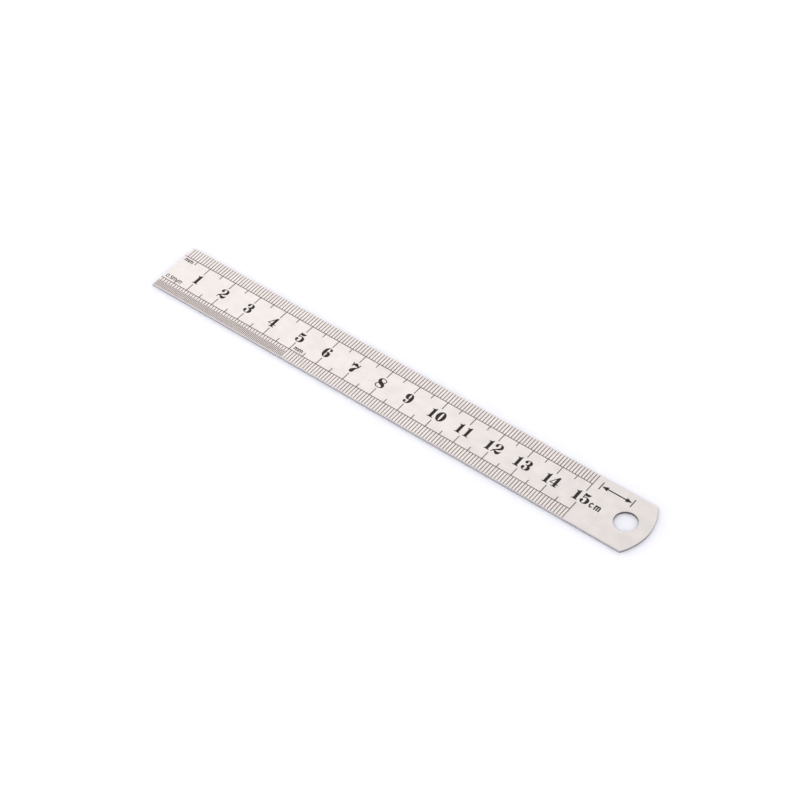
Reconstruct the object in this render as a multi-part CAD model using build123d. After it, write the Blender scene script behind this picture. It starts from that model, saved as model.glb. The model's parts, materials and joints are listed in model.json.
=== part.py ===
# A 150 mm steel ruler: one stamped strip of stainless steel with a square zero end, a round end
# and a hanging hole. Every line, figure and letter is etched into its face, and each etched
# groove holds a black filling that stops just short of the face.
#
# Millimetres. The origin is at the zero end, on the centre line, at the underside. +X runs along
# the scale, so x is the reading. +Y points to the edge that is in whole millimetres all the way
# (the upper scale); the other edge (the lower scale) starts in half millimetres. +Z points out
# of the graduated face.
from build123d import *
import os

# The blade
WIDTH = 19.0
LENGTH = 172.15
THICKNESS = 0.8
END_RADIUS = 16.5            # the round end is a shallow arc from edge to edge
CORNER_RADIUS = 0.3          # where that arc meets the long edges
HOLE_DIAMETER = 7.0
HOLE_FROM_END = 7.35         # from the hole's centre to the round end
ROLLED_EDGE = 0.12           # the stamped rim of the graduated face is drawn down to this radius

# The etching
ETCH_DEPTH = 0.06
FILL_THICKNESS = 0.05        # the filling stops 0.01 short of the face

# The scales: each has a base line, with ticks from it out to the edge and in to the middle
SCALE_LENGTH = 150
BASE_LINE_Y = 5.5
TICK_OUTER_Y = 9.3
LINE_WIDTH = 0.24
INNER_TICK_WIDTH = 0.27
HALF_CM_TICK = 1.6           # inward from the base line
CM_TICK = 3.05
HALF_MM_SCALE_LENGTH = 50    # the lower scale is in half millimetres up to here
HALF_MM_TICK_INNER_Y = 6.75

# The centimetre figures
FIGURE_TOP = 1.87            # above and below the centre line
FIGURE_SPREAD = 0.045        # how far the etching eats outwards past a figure's drawn outline
SPLINE_TOLERANCE = 0.001     # of the curves that follow the widened outline
FOUR_SHIFT = -0.5            # from the centimetre to the middle of a 4 on its own
FIRST_DIGIT_SHIFT = -1.25    # from the centimetre to the middle of a leading 1
ELEVEN_FIRST_SHIFT = -1.55   # the same for 11
SECOND_DIGIT_SHIFT = {0: 1.5, 1: 1.2, 2: 1.55, 3: 1.6, 4: 1.4, 5: 1.5}

# The unit labels: the place of each one's lower left corner, and the width of their strokes
LABEL_MM_UPPER_AT = (0.97, 3.74)
LABEL_MM_LOWER_AT = (50.97, -4.84)
LABEL_HALF_MM_AT = (0.78, -4.8)
LABEL_CM_AT = (153.32, -1.9)
MM_STROKE = 0.31
HALF_MM_STROKE = 0.255
CM_STROKE = 0.46

# The dimension arrow
ARROW_START_X = 152.2
ARROW_END_X = 163.0
ARROW_Y = 6.4
ARROW_BAR_HEIGHT = 3.0
ARROW_LINE_WIDTH = 0.42
ARROW_HEAD_LENGTH = 2.0
ARROW_HEAD_HEIGHT = 1.6
ARROW_TIP_GAP = 0.1          # from an end bar to the tip of its head


def bar(x_low, x_high, y_low, y_high):
    """A rectangular mark between two readings."""
    corners = [(x_low, y_low), (x_high, y_low), (x_high, y_high), (x_low, y_high)]
    return Face(Wire.make_polygon(corners, close=True))


def outline(start, *steps):
    """A closed outline: a step of one point is a straight side, one of three is a Bezier curve."""
    edges = []
    here = start
    for step in steps:
        if len(step) == 1:
            edges.append(Edge.make_line(here, step[0]))
        else:
            edges.append(Edge.make_bezier(here, *step))
        here = step[-1]
    return Wire(edges)


def oval(x, y, x_radius, y_radius):
    """A closed oval, upright or flat."""
    if x_radius > y_radius:
        return Wire(Edge.make_ellipse(x_radius, y_radius, Plane((x, y, 0))))
    return Wire(Edge.make_ellipse(y_radius, x_radius, Plane((x, y, 0), x_dir=(0, 1, 0))))


def moved(marks, x, y):
    """The same marks, shifted along and across the blade."""
    return [mark.moved(Pos(x, y)) for mark in marks]


# Figures: upright fat-face numerals, each drawn about its own middle


def figure_0():
    return [Face(oval(0.03, 0, 1.41, FIGURE_TOP), [oval(0.05, 0, 0.37, 1.62)])]


def figure_1():
    return [Face(outline(
        (-0.92, -1.85), [(0.92, -1.85)], [(0.92, -1.72)], [(0.60, -1.70), (0.45, -1.64), (0.45, -1.42)],
        [(0.45, 1.85)], [(0.27, 1.85)], [(0.10, 1.50), (-0.30, 1.32), (-0.90, 1.30)], [(-0.90, 1.16)],
        [(-0.60, 1.14), (-0.45, 1.08), (-0.45, 0.85)], [(-0.45, -1.42)],
        [(-0.45, -1.64), (-0.60, -1.70), (-0.92, -1.72)], [(-0.92, -1.85)]))]


def figure_2():
    return [Face(outline(
        (-1.28, 0.95), [(-1.28, 1.50), (-0.75, 1.87), (0.05, 1.87)],
        [(0.80, 1.87), (1.26, 1.45), (1.26, 0.82)],
        [(1.26, 0.15), (0.70, -0.10), (0.15, -0.35)], [(-0.15, -0.48), (-0.38, -0.60), (-0.55, -0.74)],
        [(-0.25, -0.82), (0.05, -0.93), (0.40, -0.93)], [(0.78, -0.93), (1.10, -0.80), (1.18, -0.50)],
        [(1.33, -0.50)], [(1.33, -1.40), (1.00, -1.87), (0.42, -1.87)],
        [(-0.10, -1.87), (-0.25, -1.22), (-0.70, -1.12)],
        [(-0.98, -1.06), (-1.12, -1.30), (-1.10, -1.80)],
        [(-1.27, -1.80)], [(-1.36, -1.30), (-1.20, -0.95), (-0.85, -0.62)],
        [(-0.55, -0.35), (-0.25, -0.15), (-0.02, 0.08)], [(0.25, 0.32), (0.40, 0.52), (0.40, 0.88)],
        [(0.40, 1.38), (0.25, 1.72), (-0.05, 1.72)], [(-0.32, 1.72), (-0.52, 1.58), (-0.62, 1.28)],
        [(-0.48, 1.24), (-0.40, 1.08), (-0.40, 0.88)], [(-0.40, 0.62), (-0.58, 0.45), (-0.84, 0.45)],
        [(-1.12, 0.45), (-1.28, 0.66), (-1.28, 0.95)]))]


def figure_3():
    return [Face(outline(
        (-1.13, 1.02), [(-1.13, 1.52), (-0.62, 1.87), (0.02, 1.87)],
        [(0.74, 1.87), (1.16, 1.48), (1.16, 0.95)],
        [(1.16, 0.48), (0.98, 0.20), (0.66, 0.07)], [(1.08, -0.08), (1.32, -0.42), (1.32, -0.88)],
        [(1.32, -1.48), (0.80, -1.87), (0.02, -1.87)], [(-0.72, -1.87), (-1.22, -1.50), (-1.22, -0.95)],
        [(-1.22, -0.66), (-1.02, -0.48), (-0.78, -0.48)],
        [(-0.52, -0.48), (-0.34, -0.68), (-0.34, -0.92)],
        [(-0.34, -1.14), (-0.44, -1.28), (-0.60, -1.35)],
        [(-0.50, -1.58), (-0.28, -1.72), (-0.02, -1.72)],
        [(0.27, -1.72), (0.40, -1.40), (0.40, -0.95)], [(0.40, -0.28), (0.18, -0.01), (-0.52, 0.00)],
        [(-0.52, 0.14)], [(0.12, 0.16), (0.28, 0.40), (0.28, 0.98)],
        [(0.28, 1.45), (0.17, 1.72), (-0.05, 1.72)],
        [(-0.28, 1.72), (-0.45, 1.62), (-0.53, 1.41)], [(-0.38, 1.34), (-0.28, 1.20), (-0.28, 1.02)],
        [(-0.28, 0.78), (-0.46, 0.60), (-0.70, 0.60)], [(-0.95, 0.60), (-1.13, 0.78), (-1.13, 1.02)]))]


def figure_4():
    body = outline(
        (0.72, 1.87), [(0.72, -0.74)], [(1.34, -0.74)], [(1.34, -0.92)], [(0.72, -0.92)],
        [(0.72, -1.45)],
        [(0.72, -1.66), (0.85, -1.71), (1.20, -1.72)], [(1.20, -1.85)], [(-0.58, -1.85)],
        [(-0.58, -1.72)],
        [(-0.25, -1.71), (-0.10, -1.66), (-0.10, -1.45)], [(-0.10, -0.92)], [(-1.43, -0.92)],
        [(-1.43, -0.74)], [(0.24, 1.87)], [(0.72, 1.87)])
    counter = outline((-0.10, -0.74), [(-0.10, 1.00)], [(-1.18, -0.74)], [(-0.10, -0.74)])
    return [Face(body, [counter])]


def figure_5():
    return [Face(outline(
        (-1.02, 1.85), [(-0.60, 1.67), (0.30, 1.66), (0.80, 1.80)],
        [(0.74, 1.18), (0.34, 0.88), (-0.22, 0.88)],
        [(-0.50, 0.88), (-0.70, 0.94), (-0.79, 1.00)], [(-0.79, 0.28)],
        [(-0.60, 0.44), (-0.35, 0.54), (0.02, 0.54)], [(0.80, 0.54), (1.33, 0.06), (1.33, -0.58)],
        [(1.33, -1.36), (0.80, -1.87), (-0.02, -1.87)], [(-0.74, -1.87), (-1.25, -1.50), (-1.25, -0.93)],
        [(-1.25, -0.64), (-1.05, -0.45), (-0.81, -0.45)],
        [(-0.56, -0.45), (-0.38, -0.65), (-0.38, -0.90)],
        [(-0.38, -1.11), (-0.48, -1.25), (-0.62, -1.32)],
        [(-0.52, -1.55), (-0.32, -1.70), (-0.05, -1.70)],
        [(0.24, -1.70), (0.38, -1.32), (0.38, -0.62)], [(0.38, 0.04), (0.25, 0.33), (-0.04, 0.33)],
        [(-0.38, 0.33), (-0.66, 0.23), (-0.79, -0.02)], [(-1.02, -0.02)], [(-1.02, 1.85)]))]


def figure_6():
    body = outline(
        (0.02, 1.87), [(0.55, 1.87), (0.92, 1.60), (0.92, 1.20)],
        [(0.92, 0.97), (0.74, 0.80), (0.53, 0.80)],
        [(0.31, 0.80), (0.14, 0.97), (0.14, 1.19)], [(0.14, 1.36), (0.22, 1.49), (0.34, 1.55)],
        [(0.28, 1.66), (0.14, 1.72), (-0.02, 1.72)], [(-0.30, 1.72), (-0.46, 1.30), (-0.46, 0.60)],
        [(-0.46, 0.05)], [(-0.34, 0.24), (-0.12, 0.34), (0.12, 0.34)],
        [(0.78, 0.34), (1.16, -0.12), (1.16, -0.78)], [(1.16, -1.46), (0.70, -1.87), (-0.06, -1.87)],
        [(-0.92, -1.87), (-1.40, -1.15), (-1.40, 0.00)], [(-1.40, 1.15), (-0.80, 1.87), (0.02, 1.87)])
    return [Face(body, [oval(-0.16, -0.78, 0.28, 0.90)])]


def figure_7():
    return [Face(outline(
        (-1.45, 1.85), [(-1.30, 1.85)], [(-1.22, 1.56), (-1.12, 1.40), (-0.96, 1.40)],
        [(-0.68, 1.40), (-0.55, 1.85), (-0.16, 1.85)], [(0.28, 1.85), (0.42, 1.22), (0.78, 1.20)],
        [(0.96, 1.20), (1.02, 1.42), (1.04, 1.80)], [(1.20, 1.80)],
        [(1.32, 1.30), (1.22, 0.75), (0.88, 0.28)],
        [(0.58, -0.12), (0.47, -0.45), (0.47, -1.12)], [(0.47, -1.62), (0.27, -1.87), (-0.13, -1.87)],
        [(-0.54, -1.87), (-0.80, -1.62), (-0.80, -1.22)],
        [(-0.80, -0.70), (-0.38, -0.35), (0.06, -0.02)],
        [(0.44, 0.27), (0.70, 0.48), (0.74, 0.80)], [(0.45, 0.72), (0.15, 0.74), (-0.15, 0.80)],
        [(-0.55, 0.88), (-0.98, 0.92), (-1.02, 0.28)], [(-1.18, 0.28)],
        [(-1.20, 0.90), (-1.26, 1.40), (-1.45, 1.85)]))]


def figure_8():
    body = outline(
        (-0.12, 1.87), [(0.62, 1.87), (1.12, 1.52), (1.12, 1.02)],
        [(1.12, 0.62), (0.92, 0.36), (0.60, 0.22)],
        [(1.08, -0.02), (1.36, -0.38), (1.36, -0.92)], [(1.36, -1.50), (0.80, -1.87), (-0.02, -1.87)],
        [(-0.86, -1.87), (-1.42, -1.50), (-1.42, -0.98)],
        [(-1.42, -0.62), (-1.18, -0.38), (-0.80, -0.24)],
        [(-1.18, 0.00), (-1.38, 0.35), (-1.38, 0.86)], [(-1.38, 1.46), (-0.86, 1.87), (-0.12, 1.87)])
    upper_counter = outline(
        (-0.12, 1.71), [(0.48, 1.71), (0.88, 1.44), (0.88, 1.02)],
        [(0.88, 0.74), (0.70, 0.50), (0.40, 0.38)],
        [(0.00, 0.54), (-0.66, 0.80), (-0.66, 1.22)], [(-0.66, 1.52), (-0.45, 1.71), (-0.12, 1.71)])
    lower_counter = outline(
        (-0.58, -0.38), [(-0.10, -0.62), (0.74, -0.80), (0.74, -1.22)],
        [(0.74, -1.54), (0.42, -1.71), (-0.02, -1.71)], [(-0.66, -1.71), (-1.16, -1.44), (-1.16, -0.98)],
        [(-1.16, -0.68), (-0.92, -0.48), (-0.58, -0.38)])
    return [Face(body, [upper_counter, lower_counter])]


def figure_9():
    """A 6 turned upside down, set back a little so that it looks centred."""
    return [mark.rotate(Axis.Z, 180).moved(Pos(-0.17, 0)) for mark in figure_6()]


FIGURES = [figure_0, figure_1, figure_2, figure_3, figure_4,
           figure_5, figure_6, figure_7, figure_8, figure_9]


def etched_figure(digit, x):
    """A figure centred at x, widened all round by the spread of the etching."""
    drawn = Sketch() + FIGURES[digit]()
    spread = offset(drawn, FIGURE_SPREAD, kind=Kind.ARC).face()
    holes = [hole.to_splines(tolerance=SPLINE_TOLERANCE) for hole in spread.inner_wires()]
    widened = Face(spread.outer_wire().to_splines(tolerance=SPLINE_TOLERANCE), holes)
    return moved([widened], x, 0)


def numeral(centimetres):
    """The figure or pair of figures etched at a centimetre line, on the centre line."""
    reading = 10 * centimetres
    if centimetres < 10:
        shift = FOUR_SHIFT if centimetres == 4 else 0
        return etched_figure(centimetres, reading + shift)
    second = centimetres - 10
    first_shift = ELEVEN_FIRST_SHIFT if centimetres == 11 else FIRST_DIGIT_SHIFT
    second_shift = SECOND_DIGIT_SHIFT[second]
    return etched_figure(1, reading + first_shift) + etched_figure(second, reading + second_shift)


# Unit letters: thin upright strokes. Each starts at its own lower left corner.


def letter_m(width, height, stroke):
    """Three stems joined by two round arches."""
    pitch = (width - stroke) / 2
    outer = (pitch + stroke) / 2
    inner = (pitch - stroke) / 2
    shoulder = height - outer
    shape = Sketch() + bar(0, stroke, 0, height)
    for number in range(2):
        middle = stroke / 2 + pitch * (number + 0.5)
        arch = Pos(middle, shoulder) * (Circle(outer) - Circle(inner))
        arch -= bar(middle - height, middle + height, shoulder - height, shoulder)
        stem_left = middle + inner
        shape += arch + bar(stem_left, stem_left + stroke, 0, shoulder)
    return list(shape.faces())


def ring(width, height, stroke):
    """An oval ring that starts at its lower left corner."""
    outer = Ellipse(width / 2, height / 2)
    inner = Ellipse(width / 2 - stroke, height / 2 - stroke)
    return Pos(width / 2, height / 2) * (outer - inner)


def letter_c(width, height, stroke):
    """A ring whose right side is open over the middle 40 per cent of its height."""
    shape = ring(width, height, stroke)
    shape -= bar(width / 2, width, 0.3 * height, 0.7 * height)
    return list(shape.faces())


def digit_five(width, height, stroke):
    """A flag, a short stem and an open bowl."""
    bowl_height = 0.62 * height
    stem_left = 0.04 * width
    bowl = ring(width, bowl_height, stroke)
    bowl -= bar(0, 0.5 * width, 0.36 * bowl_height, 0.72 * bowl_height)
    flag = bar(stem_left, 0.97 * width, height - stroke, height)
    stem = bar(stem_left, stem_left + stroke, 0.70 * bowl_height, height - stroke / 2)
    return list((bowl + flag + stem).faces())


def label_mm(x, y):
    """Reads mm."""
    width = 1.50
    height = 1.15
    gap = 0.10
    first = moved(letter_m(width, height, MM_STROKE), x, y)
    return first + moved(letter_m(width, height, MM_STROKE), x + width + gap, y)


def label_half_mm(x, y):
    """Reads 0.5mm. The half-centimetre tick passes between its two letters m."""
    stroke = HALF_MM_STROKE
    digit_height = 1.48
    m_width = 1.48
    m_height = 1.33
    zero = moved(list(ring(1.0, digit_height, stroke).faces()), x, y)
    point = [bar(x + 1.22, x + 1.22 + stroke, y, y + stroke)]
    five = moved(digit_five(0.86, digit_height, stroke), x + 1.56, y)
    first_m = moved(letter_m(m_width, m_height, stroke), x + 2.49, y)
    second_m = moved(letter_m(m_width, m_height, stroke), x + 4.5, y)
    return zero + point + five + first_m + second_m


def label_cm(x, y):
    """Reads cm, after the last figure."""
    height = 1.86
    c = moved(letter_c(1.3, height, CM_STROKE), x, y)
    return c + moved(letter_m(1.87, height, CM_STROKE), x + 1.76, y)


# Scales


def ticks(readings, y_low, y_high, width):
    """One straight mark across the blade at each reading."""
    return [bar(reading - width / 2, reading + width / 2, y_low, y_high) for reading in readings]


def scale_marks(side, name):
    """The base line and the ticks that both scales have; side is 1 for the upper scale, else -1."""

    def across(readings, y_from, y_to, width):
        return ticks(readings, min(side * y_from, side * y_to), max(side * y_from, side * y_to), width)

    line_inner = BASE_LINE_Y - LINE_WIDTH / 2
    line_outer = BASE_LINE_Y + LINE_WIDTH / 2
    line_end = SCALE_LENGTH + LINE_WIDTH / 2
    line_sides = sorted([side * line_inner, side * line_outer])
    return {
        f"{name}_base_line": [bar(0, line_end, *line_sides)],
        f"{name}_mm_ticks": across(
            range(1, SCALE_LENGTH + 1), line_outer, TICK_OUTER_Y, LINE_WIDTH),
        f"{name}_half_cm_ticks": across(
            range(5, SCALE_LENGTH, 10), line_inner, BASE_LINE_Y - HALF_CM_TICK, INNER_TICK_WIDTH),
        f"{name}_cm_ticks": across(
            range(10, SCALE_LENGTH + 1, 10), line_inner, BASE_LINE_Y - CM_TICK, INNER_TICK_WIDTH),
    }


def half_mm_ticks():
    readings = [mm + 0.5 for mm in range(HALF_MM_SCALE_LENGTH)]
    return ticks(readings, -TICK_OUTER_Y, -HALF_MM_TICK_INNER_Y, LINE_WIDTH)


def length_arrow():
    """A dimension line between two end bars, with a solid head at each end."""
    start, end = ARROW_START_X, ARROW_END_X
    half_line = ARROW_LINE_WIDTH / 2
    half_bar = ARROW_BAR_HEIGHT / 2
    half_head = ARROW_HEAD_HEIGHT / 2
    left_tip = start + ARROW_LINE_WIDTH
    right_tip = end - ARROW_LINE_WIDTH
    left_neck = left_tip + ARROW_HEAD_LENGTH
    right_neck = right_tip - ARROW_HEAD_LENGTH
    arrow = Wire.make_polygon([
        (left_tip, ARROW_Y), (left_neck, ARROW_Y + half_head), (left_neck, ARROW_Y + half_line),
        (right_neck, ARROW_Y + half_line), (right_neck, ARROW_Y + half_head), (right_tip, ARROW_Y),
        (right_neck, ARROW_Y - half_head), (right_neck, ARROW_Y - half_line),
        (left_neck, ARROW_Y - half_line), (left_neck, ARROW_Y - half_head)], close=True)
    left_bar = bar(start, left_tip - ARROW_TIP_GAP, ARROW_Y - half_bar, ARROW_Y + half_bar)
    right_bar = bar(right_tip + ARROW_TIP_GAP, end, ARROW_Y - half_bar, ARROW_Y + half_bar)
    return [Face(arrow), left_bar, right_bar]


def all_marks():
    """Every etched mark as flat faces, by the name of its filling."""
    marks = {}
    marks.update(scale_marks(1, "upper"))
    marks.update(scale_marks(-1, "lower"))
    marks["lower_half_mm_ticks"] = half_mm_ticks()
    for centimetres in range(1, 16):
        marks[f"numeral_{centimetres:02d}"] = numeral(centimetres)
    marks["label_mm_upper"] = label_mm(*LABEL_MM_UPPER_AT)
    marks["label_half_mm"] = label_half_mm(*LABEL_HALF_MM_AT)
    marks["label_mm_lower"] = label_mm(*LABEL_MM_LOWER_AT)
    marks["label_cm"] = label_cm(*LABEL_CM_AT)
    marks["length_arrow"] = length_arrow()
    return marks


def pressed(faces, bottom, thickness):
    """Solids that stand on the level bottom, one for each face."""
    return [Solid.extrude(face.moved(Pos(0, 0, bottom)), Vector(0, 0, thickness)) for face in faces]


def blade(marks):
    """The strip, with its rim rolled down by the stamping and every mark etched into its face."""
    half = WIDTH / 2
    arc_height = END_RADIUS - (END_RADIUS ** 2 - half ** 2) ** 0.5
    shoulder = LENGTH - arc_height
    path = (
        Line((0, -half), (shoulder, -half))
        + ThreePointArc((shoulder, -half), (LENGTH, 0), (shoulder, half))
        + Line((shoulder, half), (0, half))
        + Line((0, half), (0, -half)))
    flat = make_face(path)
    flat = fillet(flat.vertices().filter_by(lambda v: v.X > shoulder - 1), CORNER_RADIUS)
    flat -= Pos(LENGTH - HOLE_FROM_END, 0) * Circle(HOLE_DIAMETER / 2)
    strip = extrude(flat, THICKNESS)
    rim = strip.edges().filter_by(lambda e: e.center().Z > THICKNESS - 0.01 and e.center().X > 1)
    strip = fillet(rim, ROLLED_EDGE)
    grooves = []
    for faces in marks.values():
        grooves += pressed(faces, THICKNESS - ETCH_DEPTH, 2 * ETCH_DEPTH)
    return strip.solid().cut(*grooves)


def main():
    os.makedirs("parts", exist_ok=True)
    marks = all_marks()
    export_step(blade(marks), "parts/blade.step")
    for name, faces in marks.items():
        fillings = pressed(faces, THICKNESS - ETCH_DEPTH, FILL_THICKNESS)
        export_step(Compound(fillings), f"parts/{name}.step")


main()
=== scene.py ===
# A 150 mm stainless steel ruler lying on a pale floor under soft studio light.
#
# The blade and every black filling are the frame's own nodes, kept as they are. This script
# gives them their finishes, and adds the floor, the lights and the camera. Metres, except where
# a name or a comment says millimetres.
import json
import math

import bpy
from mathutils import Matrix, Vector


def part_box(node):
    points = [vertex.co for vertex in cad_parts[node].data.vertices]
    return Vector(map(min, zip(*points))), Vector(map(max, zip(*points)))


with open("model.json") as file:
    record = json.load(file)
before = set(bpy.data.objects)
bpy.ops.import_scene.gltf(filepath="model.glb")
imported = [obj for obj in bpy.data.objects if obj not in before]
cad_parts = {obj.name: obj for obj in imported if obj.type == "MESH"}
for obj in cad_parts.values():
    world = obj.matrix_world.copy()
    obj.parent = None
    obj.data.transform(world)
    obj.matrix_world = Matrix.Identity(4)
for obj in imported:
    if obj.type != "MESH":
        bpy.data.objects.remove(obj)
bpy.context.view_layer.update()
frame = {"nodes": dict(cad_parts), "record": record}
BLADE_LOW, BLADE_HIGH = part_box("blade")

MM = 0.001
PER_MM = 1 / MM

# The hanging hole, in millimetres. The painted shade on its wall fades out between two distances
# past its radius.
HOLE = next(mount for mount in frame["record"]["mounts"] if mount["name"] == "hanging_hole")
HOLE_MIDDLE_MM = (HOLE["pos_m"][0] * PER_MM, HOLE["pos_m"][1] * PER_MM, 0)
HOLE_RADIUS_MM = HOLE["dims"]["r_mm"]
HOLE_SHADE_FADE_START_MM = 0.2
HOLE_SHADE_FADE_END_MM = 0.3

# The camera: where it looks from, as seen from the middle of the graduated face
VIEW_AZIMUTH = math.radians(-50.98)
VIEW_ELEVATION = math.radians(48.53)
VIEW_ROLL = math.radians(-1.7)
VIEW_DISTANCE = 0.6545
AIM_SHIFT = Vector((2.2, -1.9, 0)) * MM
LENS = 102.8      # millimetres, as is the sensor's width
SENSOR = 36.0

# Studio light and floor
WORLD_COLOUR = (0.96, 0.97, 1.0)
WORLD_STRENGTH = 0.76
FLOOR_COLOUR = (0.93, 0.93, 0.955)
FLOOR_SIZE = 6.0
FLOOR_ROUGHNESS = 0.75
FLOOR_SHINE = 0.15
FLOOR_GLOW = 0.42                 # the share of the light that spreads inside the floor
FLOOR_GLOW_MM = (9.0, 9.8, 8.0)   # how far each colour of it spreads

# Colours. A tone is how bright a place is beside the colour that it is a shade of.
STEEL_COLOUR = (0.63, 0.588, 0.57)
WARM_STEEL_COLOUR = (0.63945, 0.59858, 0.57285)
COOL_TONE = 0.975
STREAK_TONE = 0.95
SCRATCH_TONE = 1.12
# The sides' colour is steel with painted reflection: its lavender tint and extra brightness stand in for
# the bluish floor that they mirror.
SHEARED_COLOUR_WITH_PAINTED_REFLECTION = (0.68, 0.64, 0.68)
TORN_TONE = 0.72
# Painted shade: the side of the round end that faces the lower scale is darkened to this tone.
END_SHADE_TONE = 0.54
# Painted shade: the wall of the hanging hole is darkened to this tone.
HOLE_WALL_SHADE_TONE = 0.24
FILL_COLOUR = (0.018, 0.012, 0.010)
LINE_FILL_COLOUR = (0.055, 0.022, 0.013)   # the thin lines look a little brown
FILL_PATCH_TONE = 1.7

# Roughness. The face's number is at its smoothest, and its grain adds to it.
FACE_ROUGHNESS = 0.29
GRAIN_ROUGHNESS = 0.10
ROLLED_RIM_ROUGHNESS = 0.24
BURNISHED_ROUGHNESS = 0.32
TORN_ROUGHNESS = 0.55
FILL_ROUGHNESS = 0.45
FILL_GRAIN_ROUGHNESS = 0.2
FILL_SHINE = 0.2

# Patterns, in cycles per millimetre along, across and through the blade
GRAIN = (0.05, 9.0, 9.0)
STREAKS = (0.02, 1.6, 1.6)
CLOUDS = (0.16, 0.22, 0.22)
TINTS = (0.35, 0.45, 0.45)
PITS = (7.0, 9.0, 9.0)
TORN_EDGE = (2.6, 2.6, 0.5)
SHEAR_MARKS = (5.0, 5.0, 0.4)
FILL_PATCHES = (1.4, 1.4, 1.4)
FILL_SPECKS = (11.0, 11.0, 11.0)
SCRATCH_THROUGH = 0.01
SCRATCH_BREAKS = (1.7, 1.3)       # how often a hairline breaks off, in its own length and spacing

# The torn band of a sheared side, in millimetres: its least height above the underside, how far
# its upper edge wanders above that, and how soft that edge is
TORN_HEIGHT = 0.38
TORN_WANDER = 0.12
TORN_SOFTNESS = 0.03

# Heights of the relief
GRAIN_RELIEF = 0.0012 * MM
PIT_RELIEF = 0.0008 * MM
SCRATCH_DEPTH = 0.002 * MM
SHEAR_RELIEF = 0.03 * MM
FILL_RELIEF = 0.004 * MM


class Nodes:
    """Builds a material's nodes with one short call each."""

    def __init__(self, name):
        self.material = bpy.data.materials.new(name)
        self.material.use_nodes = True
        self.tree = self.material.node_tree
        self.shader = self.tree.nodes["Principled BSDF"]
        texture_space = self.add("ShaderNodeTexCoord")
        scale = self.add("ShaderNodeMapping")
        scale.inputs["Scale"].default_value = (PER_MM, PER_MM, PER_MM)
        self.link(texture_space.outputs["Object"], scale.inputs["Vector"])
        self.place_mm = scale.outputs["Vector"]

    def add(self, kind, **settings):
        node = self.tree.nodes.new(kind)
        for key, value in settings.items():
            setattr(node, key, value)
        return node

    def link(self, output, socket):
        self.tree.links.new(output, socket)

    def put(self, value, socket):
        """Feeds a socket from another node's output, or sets it to a plain number."""
        if isinstance(value, bpy.types.NodeSocket):
            self.link(value, socket)
        else:
            socket.default_value = value

    def math(self, operation, a, b=0.0, c=0.0, clamp=False):
        node = self.add("ShaderNodeMath", operation=operation, use_clamp=clamp)
        for value, socket in zip((a, b, c), node.inputs):
            self.put(value, socket)
        return node.outputs[0]

    def axes(self, vector):
        """The X, Y and Z of a vector."""
        node = self.add("ShaderNodeSeparateXYZ")
        self.link(vector, node.inputs[0])
        return node.outputs

    def stretched(self, cycles_per_mm, turn=0.0):
        """The place on the object, with each axis scaled and turned about Z, for long thin patterns."""
        node = self.add("ShaderNodeMapping")
        node.inputs["Scale"].default_value = cycles_per_mm
        node.inputs["Rotation"].default_value = (0, 0, turn)
        self.link(self.place_mm, node.inputs["Vector"])
        return node.outputs["Vector"]

    def noise(self, cycles_per_mm, detail, turn=0.0):
        node = self.add("ShaderNodeTexNoise")
        node.inputs["Scale"].default_value = 1.0
        node.inputs["Detail"].default_value = detail
        self.link(self.stretched(cycles_per_mm, turn), node.inputs["Vector"])
        return node.outputs["Fac"]

    def ramp(self, value, low, high, to_low=0.0, to_high=1.0):
        """A smooth step from low to high."""
        node = self.add("ShaderNodeMapRange", interpolation_type="SMOOTHSTEP")
        for number, setting in enumerate((value, low, high, to_low, to_high)):
            self.put(setting, node.inputs[number])
        return node.outputs["Result"]

    def blend(self, factor, first, second):
        """A colour between two others; each is an output or three numbers."""
        node = self.add("ShaderNodeMix", data_type="RGBA")
        self.put(factor, node.inputs[0])
        for value, socket in ((first, node.inputs[6]), (second, node.inputs[7])):
            self.put(value if isinstance(value, bpy.types.NodeSocket) else (*value, 1), socket)
        return node.outputs[2]

    def mix(self, factor, first, second):
        """A number between two others."""
        node = self.add("ShaderNodeMix", data_type="FLOAT")
        for number, value in ((0, factor), (2, first), (3, second)):
            self.put(value, node.inputs[number])
        return node.outputs[0]

    def distance_mm(self, place):
        """How far the surface is from a vertical line through a place in millimetres."""
        flat = self.add("ShaderNodeVectorMath", operation="MULTIPLY")
        self.link(self.place_mm, flat.inputs[0])
        flat.inputs[1].default_value = (1, 1, 0)
        gap = self.add("ShaderNodeVectorMath", operation="DISTANCE")
        self.link(flat.outputs["Vector"], gap.inputs[0])
        gap.inputs[1].default_value = place
        return gap.outputs["Value"]

    def bump(self, height, distance, under=None):
        node = self.add("ShaderNodeBump")
        node.inputs["Strength"].default_value = 1.0
        node.inputs["Distance"].default_value = distance
        self.link(height, node.inputs["Height"])
        if under:
            self.link(under, node.inputs["Normal"])
        return node.outputs["Normal"]


def shade(colour, tone):
    return tuple(channel * tone for channel in colour)


def scratches(nodes, turn, length, spacing, seldom):
    """Sparse hairlines, about length long and spacing apart in millimetres, turned from the blade."""
    cells = nodes.add("ShaderNodeTexVoronoi", feature="DISTANCE_TO_EDGE", voronoi_dimensions="3D")
    cells.inputs["Scale"].default_value = 1.0
    nodes.link(nodes.stretched((1 / length, 1 / spacing, SCRATCH_THROUGH), turn), cells.inputs["Vector"])
    line = nodes.ramp(cells.outputs["Distance"], low=0.004, high=0.02, to_low=1.0, to_high=0.0)
    breaks = (SCRATCH_BREAKS[0] / length, SCRATCH_BREAKS[1] / spacing, SCRATCH_THROUGH)
    kept = nodes.ramp(nodes.noise(breaks, detail=3.0, turn=turn), low=seldom, high=seldom + 0.08)
    return nodes.math("MULTIPLY", line, kept)


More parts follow.
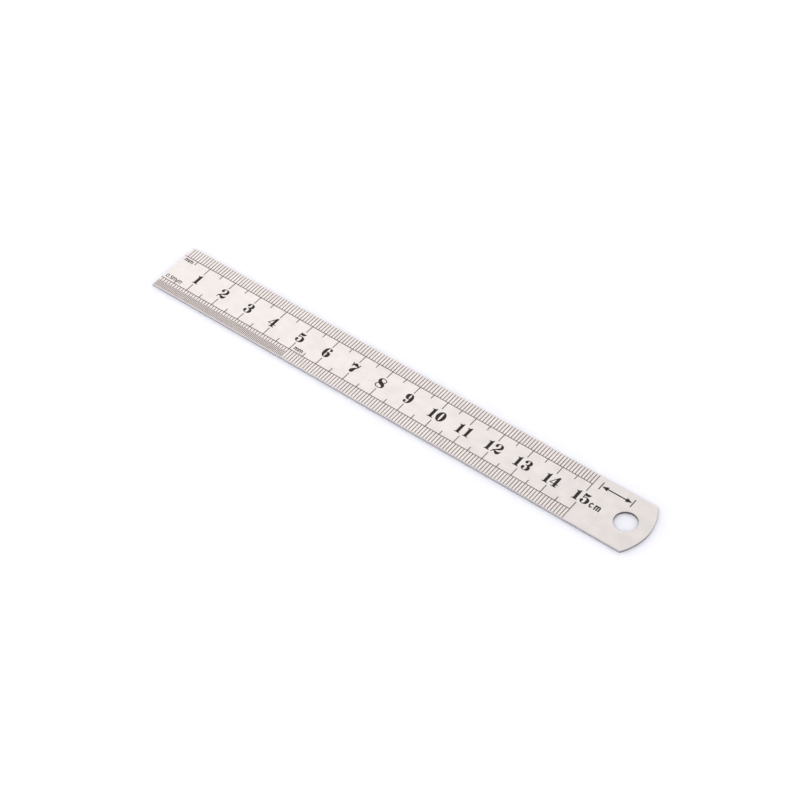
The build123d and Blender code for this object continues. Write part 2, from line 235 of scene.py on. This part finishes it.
def face_colour(nodes, hairlines):
    """Steel with a faint warm mottle, streaks along the rolling direction and light scratches."""
    tint = nodes.ramp(nodes.noise(TINTS, detail=2.0), low=0.38, high=0.62)
    streak = nodes.ramp(nodes.noise(STREAKS, detail=3.0), low=0.35, high=0.70, to_high=0.3)
    mottled = nodes.blend(tint, shade(STEEL_COLOUR, COOL_TONE), WARM_STEEL_COLOUR)
    streaked = nodes.blend(streak, mottled, shade(STEEL_COLOUR, STREAK_TONE))
    faint_hairlines = nodes.math("MULTIPLY", hairlines, 0.2)
    return nodes.blend(faint_hairlines, streaked, shade(STEEL_COLOUR, SCRATCH_TONE))


def sheared_colour(nodes, normal, burnished):
    """The sides: torn below, with painted shade on the lower half of the round end and inside the hole.
    """
    # Painted shade on the side of the round end that faces the lower scale
    faces_end = nodes.ramp(normal["X"], low=0.3, high=0.5)
    faces_lower_scale = nodes.ramp(normal["Y"], low=0.25, high=-0.10)
    painted_end_shade = nodes.math("MULTIPLY", faces_end, faces_lower_scale)
    # Painted shade on the wall of the hanging hole
    painted_hole_shade = nodes.ramp(nodes.distance_mm(HOLE_MIDDLE_MM),
                         low=HOLE_RADIUS_MM + HOLE_SHADE_FADE_END_MM,
                         high=HOLE_RADIUS_MM + HOLE_SHADE_FADE_START_MM)
    colour = nodes.blend(burnished, shade(SHEARED_COLOUR_WITH_PAINTED_REFLECTION, TORN_TONE), SHEARED_COLOUR_WITH_PAINTED_REFLECTION)
    colour = nodes.blend(painted_end_shade, colour, shade(SHEARED_COLOUR_WITH_PAINTED_REFLECTION, END_SHADE_TONE))
    return nodes.blend(painted_hole_shade, colour, shade(SHEARED_COLOUR_WITH_PAINTED_REFLECTION, HOLE_WALL_SHADE_TONE))


def face_roughness(nodes, grain, hairlines, rim):
    """Satin along the grain, with cloudy patches, smoother scratches and a smooth rolled rim."""
    cloud = nodes.ramp(nodes.noise(CLOUDS, detail=3.0), low=0.3, high=0.7, to_low=-0.025, to_high=0.035)
    roughness = nodes.math("MULTIPLY_ADD", grain, GRAIN_ROUGHNESS, FACE_ROUGHNESS)
    roughness = nodes.math("ADD", roughness, cloud)
    roughness = nodes.math("MULTIPLY_ADD", hairlines, -0.04, roughness)
    return nodes.mix(rim, roughness, ROLLED_RIM_ROUGHNESS)


def stainless_steel():
    """Satin rolled strip: a grained face, a smooth rim, and sheared sides that are part torn."""
    nodes = Nodes("stainless_steel_finish")
    shader = nodes.shader
    shader.inputs["Metallic"].default_value = 1.0
    normal = nodes.axes(nodes.add("ShaderNodeNewGeometry").outputs["True Normal"])
    up_or_down = nodes.math("ABSOLUTE", normal["Z"])
    side = nodes.ramp(up_or_down, low=0.25, high=0.10)
    rim = nodes.math("SUBTRACT", nodes.ramp(up_or_down, low=0.985, high=0.93), side, clamp=True)

    grain = nodes.noise(GRAIN, detail=4.0)
    hairlines = nodes.math(
        "MAXIMUM",
        scratches(nodes, math.radians(7), length=34, spacing=3.1, seldom=0.56),
        scratches(nodes, math.radians(-21), length=19, spacing=5.3, seldom=0.60))

    # The shear leaves a bright burnished band near the face and a dull torn one below it
    wander = nodes.noise(TORN_EDGE, detail=4.0)
    torn_top = nodes.math("MULTIPLY_ADD", wander, TORN_WANDER, TORN_HEIGHT)
    above_torn = nodes.math("SUBTRACT", nodes.axes(nodes.place_mm)["Z"], torn_top)
    burnished = nodes.ramp(above_torn, low=-TORN_SOFTNESS, high=TORN_SOFTNESS)

    colour = nodes.blend(side, face_colour(nodes, hairlines), sheared_colour(nodes, normal, burnished))
    nodes.link(colour, shader.inputs["Base Color"])

    side_roughness = nodes.mix(burnished, TORN_ROUGHNESS, BURNISHED_ROUGHNESS)
    roughness = nodes.mix(side, face_roughness(nodes, grain, hairlines, rim), side_roughness)
    nodes.link(roughness, shader.inputs["Roughness"])

    relief = nodes.bump(grain, GRAIN_RELIEF)
    relief = nodes.bump(nodes.noise(PITS, detail=2.0), PIT_RELIEF, relief)
    relief = nodes.bump(nodes.math("MULTIPLY", hairlines, -1.0), SCRATCH_DEPTH, relief)
    shear_marks = nodes.math("MULTIPLY", nodes.noise(SHEAR_MARKS, detail=3.0), side)
    nodes.link(nodes.bump(shear_marks, SHEAR_RELIEF, relief), shader.inputs["Normal"])
    return nodes.material


def black_fill(name, colour):
    """Matt filling in the etched marks, a little patchy and grainy."""
    nodes = Nodes(name)
    shader = nodes.shader
    shader.inputs["Specular IOR Level"].default_value = FILL_SHINE
    patch = nodes.ramp(nodes.noise(FILL_PATCHES, detail=3.0), low=0.35, high=0.7)
    speck = nodes.noise(FILL_SPECKS, detail=2.0)
    nodes.link(nodes.blend(patch, colour, shade(colour, FILL_PATCH_TONE)), shader.inputs["Base Color"])
    roughness = nodes.math("MULTIPLY_ADD", speck, FILL_GRAIN_ROUGHNESS, FILL_ROUGHNESS)
    nodes.link(roughness, shader.inputs["Roughness"])
    nodes.link(nodes.bump(speck, FILL_RELIEF), shader.inputs["Normal"])
    return nodes.material


def floor_finish():
    """White sheet in which light spreads a little, so the blade has a wide soft halo."""
    nodes = Nodes("floor_finish")
    shader = nodes.shader
    shader.subsurface_method = "BURLEY"
    shader.inputs["Base Color"].default_value = (*FLOOR_COLOUR, 1)
    shader.inputs["Roughness"].default_value = FLOOR_ROUGHNESS
    shader.inputs["Specular IOR Level"].default_value = FLOOR_SHINE
    shader.inputs["Subsurface Weight"].default_value = FLOOR_GLOW
    shader.inputs["Subsurface Radius"].default_value = FLOOR_GLOW_MM
    shader.inputs["Subsurface Scale"].default_value = MM
    return nodes.material


def finish_nodes():
    steel = stainless_steel()
    broad_fill = black_fill("black_fill_finish", FILL_COLOUR)
    line_fill = black_fill("black_line_finish", LINE_FILL_COLOUR)
    for part in frame["record"]["subparts"]:
        node = part["node"]
        if node == "blade":
            finish = steel
        elif node.endswith(("ticks", "line")):
            finish = line_fill
        else:
            finish = broad_fill
        for slot in frame["nodes"][node].material_slots:
            slot.material = finish


def add_floor():
    half = FLOOR_SIZE / 2
    level = BLADE_LOW[2]
    mesh = bpy.data.meshes.new("floor")
    corners = [(-half, -half, level), (half, -half, level), (half, half, level), (-half, half, level)]
    mesh.from_pydata(corners, [], [(0, 1, 2, 3)])
    mesh.materials.append(floor_finish())
    floor = bpy.data.objects.new("floor", mesh)
    bpy.context.scene.collection.objects.link(floor)


def face_middle():
    return Vector(((BLADE_LOW[0] + BLADE_HIGH[0]) / 2, (BLADE_LOW[1] + BLADE_HIGH[1]) / 2, BLADE_HIGH[2]))


def add_softbox(name, towards, distance, width, height, watts, colour):
    """A rectangular lamp that shines at the middle of the blade."""
    lamp = bpy.data.lights.new(name, "AREA")
    lamp.shape = "RECTANGLE"
    lamp.size = width
    lamp.size_y = height
    lamp.energy = watts
    lamp.color = colour
    box = bpy.data.objects.new(name, lamp)
    direction = Vector(towards).normalized()
    box.location = face_middle() + direction * distance
    box.rotation_euler = direction.to_track_quat("Z", "Y").to_euler()
    bpy.context.scene.collection.objects.link(box)


def add_lights():
    world = bpy.data.worlds.new("studio")
    world.use_nodes = True
    background = world.node_tree.nodes["Background"]
    background.inputs["Color"].default_value = (*WORLD_COLOUR, 1)
    background.inputs["Strength"].default_value = WORLD_STRENGTH
    bpy.context.scene.world = world
    add_softbox("far_softbox", towards=(-0.76, 0.46, 0.64), distance=0.9,
                width=1.2, height=1.0, watts=3.15, colour=(1.0, 0.985, 0.97))
    add_softbox("right_softbox", towards=(0.75, 0.30, 0.75), distance=1.0,
                width=1.2, height=1.0, watts=2.2, colour=(1.0, 1.0, 1.0))
    # Close to the floor, so that it lights the near side of the blade and hardly touches the face
    add_softbox("low_strip", towards=(-0.68, -0.62, 0.18), distance=0.27,
                width=0.3, height=0.10, watts=0.10, colour=(0.96, 0.96, 1.0))
    add_softbox("near_softbox", towards=(0.25, -0.65, 0.80), distance=1.1,
                width=1.0, height=1.0, watts=1.9, colour=(0.98, 0.98, 1.0))


def add_camera():
    data = bpy.data.cameras.new("camera")
    data.lens = LENS
    data.sensor_width = SENSOR
    data.clip_start = 0.01
    camera = bpy.data.objects.new("camera", data)
    bpy.context.scene.collection.objects.link(camera)
    level = math.cos(VIEW_ELEVATION)
    back = Vector((
        level * math.cos(VIEW_AZIMUTH), level * math.sin(VIEW_AZIMUTH), math.sin(VIEW_ELEVATION)))
    look = back.to_track_quat("Z", "Y").to_matrix().to_4x4()
    roll = Matrix.Rotation(VIEW_ROLL, 4, "Z")
    place = Matrix.Translation(face_middle() + AIM_SHIFT + back * VIEW_DISTANCE)
    camera.matrix_world = place @ look @ roll
    bpy.context.scene.camera = camera


finish_nodes()
add_floor()
add_lights()
add_camera()
bpy.context.scene.view_settings.view_transform = "Standard"
